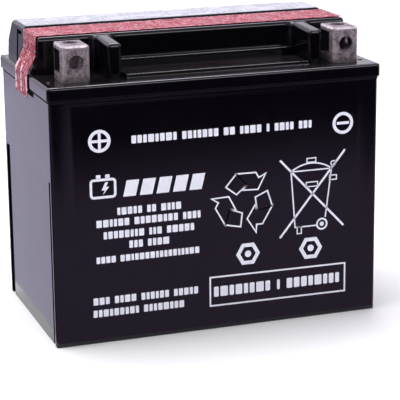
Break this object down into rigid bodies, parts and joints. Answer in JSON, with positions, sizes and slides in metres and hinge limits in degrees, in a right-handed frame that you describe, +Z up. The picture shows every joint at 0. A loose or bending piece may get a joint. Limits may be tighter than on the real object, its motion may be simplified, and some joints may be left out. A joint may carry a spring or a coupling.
{
  "type": "motorcycle battery",
  "caption": "Sealed lead-acid motorcycle battery: moulded container, lid with hollow box terminals at the front corners, raised vent cover and a peel-off tape over the filler ports.",
  "frame": {"origin": "centre of the footprint, on the floor", "axes": "+X along the length towards the negative terminal, -Y towards the terminal side, +Z up"},
  "size_m": [0.1505, 0.087, 0.13],
  "materials": {
    "case": "gloss black moulded polypropylene",
    "label": "white coated label",
    "tape": "red printed foil",
    "terminal_lead": "cast lead alloy, dull and mottled",
    "seal": "matt",
    "strap_lead": "cast lead alloy",
    "positive_paste": "matt brown paste",
    "negative_paste": "matt grey paste",
    "glass_mat": "white glass fibre mat",
    "valve_rubber": "matt",
    "porous_disc": "porous"
  },
  "bodies": {
    "battery": {"container": "case", "lid": "case", "filler_row": "case", "rib_positive": "case", "rib_negative": "case", "vent_cover": "case", "partition_1": "case", "partition_2": "case", "partition_3": "case", "partition_4": "case", "partition_5": "case", "vent_spout_1": "case", "vent_spout_2": "case", "vent_spout_3": "case", "vent_spout_4": "case", "vent_spout_5": "case", "vent_spout_6": "case", "top_label": "label", "terminal_positive": "terminal_lead", "terminal_negative": "terminal_lead", "stem_seal_positive": "seal", "stem_seal_negative": "seal", "end_strap_positive": "strap_lead", "end_strap_negative": "strap_lead", "cell_connector_1": "strap_lead", "cell_connector_2": "strap_lead", "cell_connector_3": "strap_lead", "cell_connector_4": "strap_lead", "cell_connector_5": "strap_lead", "positive_plates_1": "positive_paste", "positive_plates_2": "positive_paste", "positive_plates_3": "positive_paste", "positive_plates_4": "positive_paste", "positive_plates_5": "positive_paste", "positive_plates_6": "positive_paste", "negative_plates_1": "negative_paste", "negative_plates_2": "negative_paste", "negative_plates_3": "negative_paste", "negative_plates_4": "negative_paste", "negative_plates_5": "negative_paste", "negative_plates_6": "negative_paste", "separators_1": "glass_mat", "separators_2": "glass_mat", "separators_3": "glass_mat", "separators_4": "glass_mat", "separators_5": "glass_mat", "separators_6": "glass_mat", "flame_arrestor_left": "porous_disc", "flame_arrestor_right": "porous_disc"},
    "seal_tape": {"seal_tape": "tape"},
    "safety_valve_1": {"safety_valve_1": "valve_rubber"},
    "safety_valve_2": {"safety_valve_2": "valve_rubber"},
    "safety_valve_3": {"safety_valve_3": "valve_rubber"},
    "safety_valve_4": {"safety_valve_4": "valve_rubber"},
    "safety_valve_5": {"safety_valve_5": "valve_rubber"},
    "safety_valve_6": {"safety_valve_6": "valve_rubber"}
  },
  "joints": [
    {"name": "seal_tape_lift", "type": "slide", "parent": "battery", "child": "seal_tape", "axis": [0, 0, 1], "range_m": [0, 0.04]},
    {"name": "safety_valve_1_lift", "type": "slide", "parent": "battery", "child": "safety_valve_1", "axis": [0, 0, 1], "range_m": [0, 0.0006], "stiffness_N_per_m": 400, "springref_m": -0.001},
    {"name": "safety_valve_2_lift", "type": "slide", "parent": "battery", "child": "safety_valve_2", "axis": [0, 0, 1], "range_m": [0, 0.0006], "stiffness_N_per_m": 400, "springref_m": -0.001},
    {"name": "safety_valve_3_lift", "type": "slide", "parent": "battery", "child": "safety_valve_3", "axis": [0, 0, 1], "range_m": [0, 0.0006], "stiffness_N_per_m": 400, "springref_m": -0.001},
    {"name": "safety_valve_4_lift", "type": "slide", "parent": "battery", "child": "safety_valve_4", "axis": [0, 0, 1], "range_m": [0, 0.0006], "stiffness_N_per_m": 400, "springref_m": -0.001},
    {"name": "safety_valve_5_lift", "type": "slide", "parent": "battery", "child": "safety_valve_5", "axis": [0, 0, 1], "range_m": [0, 0.0006], "stiffness_N_per_m": 400, "springref_m": -0.001},
    {"name": "safety_valve_6_lift", "type": "slide", "parent": "battery", "child": "safety_valve_6", "axis": [0, 0, 1], "range_m": [0, 0.0006], "stiffness_N_per_m": 400, "springref_m": -0.001}
  ]
}
